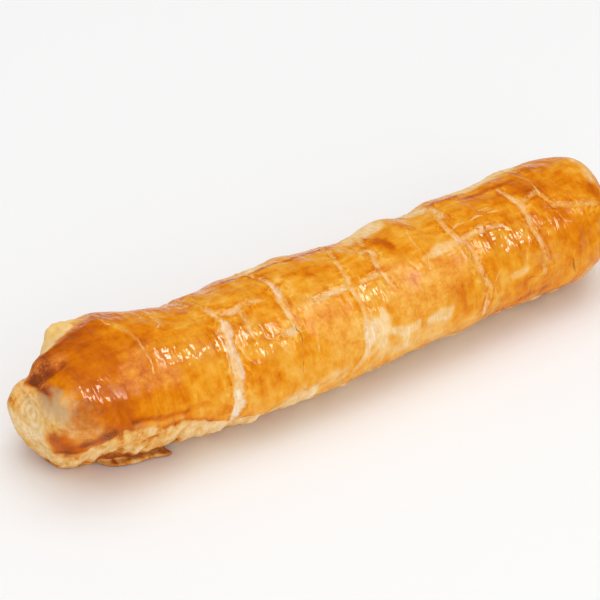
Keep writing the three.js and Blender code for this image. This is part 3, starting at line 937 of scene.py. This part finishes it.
# Fields over the crust
frayed = grain("fine fray") + grain("wide fray")
station = place[:, 0]
height = place[:, 2]
turn = np.degrees(np.arctan2(-(place[:, 1] - spine(station)), height - AXIS_HEIGHT))
towards_eye = facing @ np.array(BACK)
tear, cream = torn_places()
# Besides the bare dough, this holds the painted sheen along the hood's rim and crease
pale = 1 - (1 - laid_over(PALE)) * (1 - LAP_PALENESS * lap_share())
above_hem = height - hem_edge()
under_hem = ease(HEM_FADE, -HEM_FADE, above_hem)
scallops = grain("scallop") + grain("small scallop")
rusty = laid_over(RUSTY)
near_end = pinched_end()
far_end = plain_end()
ear = bare_ear()
coil, far_coil = end_coils()
unglazed = 1 - (1 - pale) * (1 - under_hem) * (1 - near_end) * (1 - far_end) * (1 - EAR_BARENESS * ear)
bare = unglazed * (1 - RUST_COVER * rusty)
back_wash = ease(*UNSEEN, towards_eye) * ease(*BACK_WASH, grain("back wash"))
FIELDS = {
    "tear": tear,
    "cream": cream,
    "tone": browning(),
    "bare": bare,
    "dull": np.maximum(laid_over(DULL), EAR_DULLNESS * ear),
    "turn": turn / 180,
    "bright": np.maximum(laid_over(BRIGHT), back_wash),
    # Painted shade under the hood's overhang
    "floury": laid_over(HOOD_SHADE),
}
for kind, paths in {"hair": HAIRS, "crack": CRACKS}.items():
    FIELDS[kind + "_side"], FIELDS[kind + "_half"] = seam_fields(paths)

# The crust with its fine relief, never below the tray
moved = (place + facing * relief()[:, None]) * MM
moved[:, 2] = np.maximum(moved[:, 2], 0)
crust_mesh.vertices.foreach_set("co", moved.ravel())
for name, values in FIELDS.items():
    attribute = crust_mesh.attributes.new(name, "FLOAT", "POINT")
    attribute.data.foreach_set("value", values.astype(np.float32))
crust_mesh.shade_smooth()
crust_mesh.update()
crust_mesh.name = "crust"
crust = put_in("baked_crust", crust_mesh)


class Signal:
    """A socket's value in a material. Arithmetic on it adds Math nodes."""

    def __init__(self, recipe, socket):
        self.recipe = recipe
        self.socket = socket

    def __add__(self, other):
        return self.recipe.math("ADD", self, other)

    def __sub__(self, other):
        return self.recipe.math("SUBTRACT", self, other)

    def __rsub__(self, other):
        return self.recipe.math("SUBTRACT", other, self)

    def __mul__(self, other):
        return self.recipe.math("MULTIPLY", self, other)

    __radd__ = __add__
    __rmul__ = __mul__

    def size(self):
        """The value without its sign."""
        return self.recipe.math("ABSOLUTE", self, 0)

    def ease(self, start, end):
        """0 before start, 1 after end, smooth between; start may be the larger."""
        return self.recipe.node(
            "ShaderNodeMapRange",
            {"interpolation_type": "SMOOTHSTEP"},
            {"Value": self, "From Min": start, "From Max": end},
        )


def tint(red, green, blue):
    """A colour given as it looks on a screen, 0 to 255, as light."""
    parts = []
    for value in (red, green, blue):
        share = value / 255
        parts.append(share / 12.92 if share <= 0.04045 else ((share + 0.055) / 1.055) ** 2.4)
    return (*parts, 1)


class Recipe:
    """A material and the nodes that make its finish."""

    def __init__(self, name):
        self.material = bpy.data.materials.new(name)
        self.material.use_nodes = True
        self.tree = self.material.node_tree
        self.tree.nodes.remove(self.tree.nodes["Principled BSDF"])

    def node(self, kind, settings, sockets, output=0):
        """A node of a kind: its settings first, then its sockets' values or links."""
        made = self.tree.nodes.new(kind)
        for key, value in settings.items():
            if key == "stops":
                while len(made.color_ramp.elements) < len(value):
                    made.color_ramp.elements.new(1)
                for stop, (where, colour) in zip(made.color_ramp.elements, value):
                    stop.position = where
                    stop.color = tint(*colour)
            else:
                setattr(made, key, value)
        for key, value in sockets.items():
            if isinstance(value, Signal):
                self.tree.links.new(value.socket, made.inputs[key])
            else:
                made.inputs[key].default_value = value
        return Signal(self, made.outputs[output])

    def math(self, operation, first, second):
        return self.node("ShaderNodeMath", {"operation": operation}, {0: first, 1: second})

    def field(self, name):
        return self.node("ShaderNodeAttribute", {"attribute_name": name}, {}, "Fac")

    def cloud(self, spot, name):
        """The cloud of that name, from about -0.5 to 0.5."""
        size, detail, roughness, stretch, bend = CLOUDS[name]
        return self.node("ShaderNodeTexNoise", {}, {
            "Vector": self.node("ShaderNodeMapping", {}, {"Vector": spot, "Scale": stretch}),
            "Scale": 1 / (size * MM),
            "Detail": detail,
            "Roughness": roughness,
            "Distortion": bend,
        }) - 0.5

    def mix(self, share, first, second):
        return self.node("ShaderNodeMix", {"data_type": "RGBA"}, {0: share, 6: first, 7: second}, 2)

    def ramp(self, value, stops):
        return self.node("ShaderNodeValToRGB", {"stops": stops}, {"Fac": value})

    def finish(self, shader):
        self.tree.links.new(shader.socket, self.tree.nodes["Material Output"].inputs["Surface"])
        return self.material


def weighed(cloud, weights):
    """Clouds added up by their weights."""
    return sum(cloud[name] * weight for name, weight in weights.items())


def seam_line(cloud, field, kind):
    """Share of the thin lines of a kind."""
    waver, fray, edge, breaks = SEAM_LOOKS[kind]
    gap = (field[kind + "_side"] + cloud["waver"] * waver).size() - field[kind + "_half"]
    return (gap + cloud["speck"] * fray).ease(*edge) * (cloud["patch"] + 0.5).ease(*breaks)


def glaze_colour(r, cloud, field, fading):
    """Egg glaze from gold to burnt, brushed along the top, wiped round the sides, crazed by the tears."""
    low = field["turn"].ease(*LOW_SIDE)
    crazing = (1 - cloud["crazing"].size() * CRAZE_FINENESS).ease(*CRAZE_EDGE)
    crazing = crazing * (field["tear"] + cloud["mottle"] * CRAZE_SPREAD).ease(*CRAZE_REACH)
    uneven = weighed(cloud, UNEVEN_GLAZE)
    uneven = uneven + cloud["brushed"] * (1 - low) * BRUSHED_TOP + cloud["wiped"] * low * WIPED_SIDES
    calm = 1 - field["tone"].ease(*BROWN_CALM) * CALMING
    tone = field["tone"] + uneven * calm + weighed(cloud, DULL_SPECKS) * field["dull"]
    tone = tone + cloud["drips"] * fading * DRIPS - crazing * CRAZE_PALENESS - field["dull"] * DULL_PALENESS
    return r.mix(field["dull"] * DULL_COVER, r.ramp(tone, GLAZE), r.ramp(tone, DULL_GLAZE))


def dough_colour(r, cloud, field, furrows):
    """Unglazed dough, baked from pale to brown, with painted shade as a grey tint under the hood's overhang.
    """
    tone = weighed(cloud, UNEVEN_DOUGH) + (field["tone"] - GOLDEN) * DOUGH_BROWNING + DOUGH_MIDDLE
    # Painted shade under the hood's overhang, mixed in as grey
    dough = r.mix(field["floury"] * HOOD_SHADE_COVER, r.ramp(tone, DOUGH), tint(*HOOD_SHADE_TINT))
    return r.mix(furrows * DOUGH_FURROWS, dough, tint(*DOUGH_FURROW_TINT))


def crumb_colour(r, cloud, field, furrows):
    """Stringy dough inside the tears."""
    paleness = field["cream"]
    depth = CRUMB_DEEPEST - paleness + weighed(cloud, STRINGY_CRUMB) * (CRUMB_CONTRAST - paleness)
    furrowed = furrows * (CRUMB_FURROWS - paleness * PALE_FURROWS)
    return r.mix(furrowed, r.ramp(depth, CRUMB), tint(*CRUMB_FURROW_TINT))


def tear_shares(cloud, field):
    """Shares of the torn crumb and of the pale lips beside it."""
    paleness = field["cream"]
    edge = field["tear"] + weighed(cloud, TEAR_EDGE)
    gaps = (weighed(cloud, TEAR_GAPS) + 0.5).ease(*TEAR_GAP_FADE) * (1 - paleness * TEAR_GAP_FILL)
    torn = edge.ease(*TEAR_FADE) * (TEAR_COVER + paleness * (1 - TEAR_COVER)) * (1 - gaps * TEAR_GAP_STRENGTH)
    lips = (edge - LIP_LINE).size().ease(*LIP_LINE_FADE) * (cloud["patch"] + 0.5).ease(*LIP_BREAKS)
    return torn, lips * (field["tear"] + cloud["mottle"] * LIP_SPREAD).ease(*LIP_REACH)


def egg_wash(r, thick, colour, bump, shine):
    """Crust of a colour under thin wash, mixed with the same crust under thick wash."""
    skin = {
        "Base Color": colour,
        "Normal": r.node("ShaderNodeBump", {}, {"Height": bump, "Strength": 1, "Distance": MM}),
    }
    thin_wash = r.node("ShaderNodeBsdfPrincipled", {}, {
        **skin,
        "Roughness": MATT - shine * THIN_SHINE,
        "Specular IOR Level": THIN_SPECULAR,
    })
    thick_wash = r.node("ShaderNodeBsdfPrincipled", {}, {
        **skin,
        "Roughness": MATT - shine * THICK_SHINE,
        "Coat Weight": shine * COAT,
        "Coat Roughness": COAT_ROUGHNESS,
    })
    return r.node("ShaderNodeMixShader", {}, {0: thick, 1: thin_wash, 2: thick_wash})


def baked_crust():
    """Egg-glazed crust, torn and unglazed dough, on the fields of the roll."""
    r = Recipe("baked crust")
    spot = r.node("ShaderNodeTexCoord", {}, {}, "Object")
    cloud = {name: r.cloud(spot, name) for name in CLOUDS}
    field = {name: r.field(name) for name in FIELDS}

    bared = field["bare"]
    fading = bared * (1 - bared) * 4  # 1 halfway from glazed to bare
    bared = bared + weighed(cloud, BARE_EDGE) + weighed(cloud, BARE_FRAY) * fading
    bared = bared.ease(*BARE_FADE)
    furrows = (1 - cloud["strands"].size() * FURROW_FINENESS).ease(*FURROW_EDGE)
    torn, lips = tear_shares(cloud, field)
    hairs = seam_line(cloud, field, "hair")
    cracks = seam_line(cloud, field, "crack")

    glaze = glaze_colour(r, cloud, field, fading)
    colour = r.mix(bared, glaze, dough_colour(r, cloud, field, furrows))
    colour = r.mix(torn, colour, crumb_colour(r, cloud, field, furrows))
    colour = r.mix(lips * LIP_STRENGTH, colour, tint(*LIP_TINT))
    colour = r.mix(hairs * SEAM_STRENGTH, colour, tint(*HAIR_TINT))
    colour = r.mix(cracks * SEAM_STRENGTH, colour, tint(*CRACK_TINT))

    shine = (1 - torn) * (1 - bared) * (1 - field["dull"])
    bump = weighed(cloud, WASH_RIPPLES) * (RIPPLE_THIN + field["bright"] * RIPPLE_THICK) * shine
    bump = bump + cloud["pores"] * (PORE_DEPTH - shine * PORE_FILL)
    bump = bump + hairs * HAIR_RISE - cracks * CRACK_DEPTH
    return r.finish(egg_wash(r, field["bright"], colour, bump, shine))


crust_mesh.materials.clear()
crust_mesh.materials.append(baked_crust())
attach(crust, "root")
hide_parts("pastry_log")


def pale_floor():
    """A plain pale floor."""
    sheet = bmesh.new()
    bmesh.ops.create_grid(sheet, x_segments=1, y_segments=1, size=FLOOR_HALF)
    mesh = bpy.data.meshes.new("floor")
    sheet.to_mesh(mesh)
    sheet.free()
    paint = Recipe("pale floor")
    grey = {"Base Color": (FLOOR_GREY, FLOOR_GREY, FLOOR_GREY, 1), "Roughness": FLOOR_ROUGHNESS}
    mesh.materials.append(paint.finish(paint.node("ShaderNodeBsdfPrincipled", {}, grey)))
    return put_in("floor", mesh)


def softbox(name, towards, distance, width, tall, power, on_gloss, colour):
    """A softbox aimed at the log, seen either by its gloss or by its matt colour."""
    light = bpy.data.lights.new(name, "AREA")
    light.shape = "RECTANGLE"
    light.size = width
    light.size_y = tall
    light.energy = power
    light.color = colour
    box = put_in(name, light)
    box.location = Vector(towards).normalized() * distance
    box.rotation_mode = "QUATERNION"
    box.rotation_quaternion = Vector(towards).to_track_quat("Z", "Y")
    box.visible_glossy = on_gloss
    box.visible_diffuse = not on_gloss


# The stage: floor, soft studio light and the photograph's camera
floor = pale_floor()
for name, look in SOFTBOXES.items():
    softbox(name, *look)
world = bpy.data.worlds.new("studio")
world.use_nodes = True
sky = world.node_tree.nodes["Background"]
sky.inputs["Color"].default_value = (1, 1, 1, 1)
sky.inputs["Strength"].default_value = SKY_STRENGTH
world.cycles_visibility.glossy = False
scene.world = world
scene.view_settings.view_transform = "Standard"

camera_data = bpy.data.cameras.new("camera")
camera_data.sensor_width = SENSOR_MM
camera_data.lens = FOCAL_PIXELS / FRAME_PIXELS * SENSOR_MM
camera_data.clip_start = NEAREST
camera_data.clip_end = FARTHEST
camera = put_in("camera", camera_data)
camera.location = EYE
camera.rotation_mode = "QUATERNION"
camera.rotation_quaternion = (-BACK).to_track_quat("-Z", "Y")
scene.camera = camera
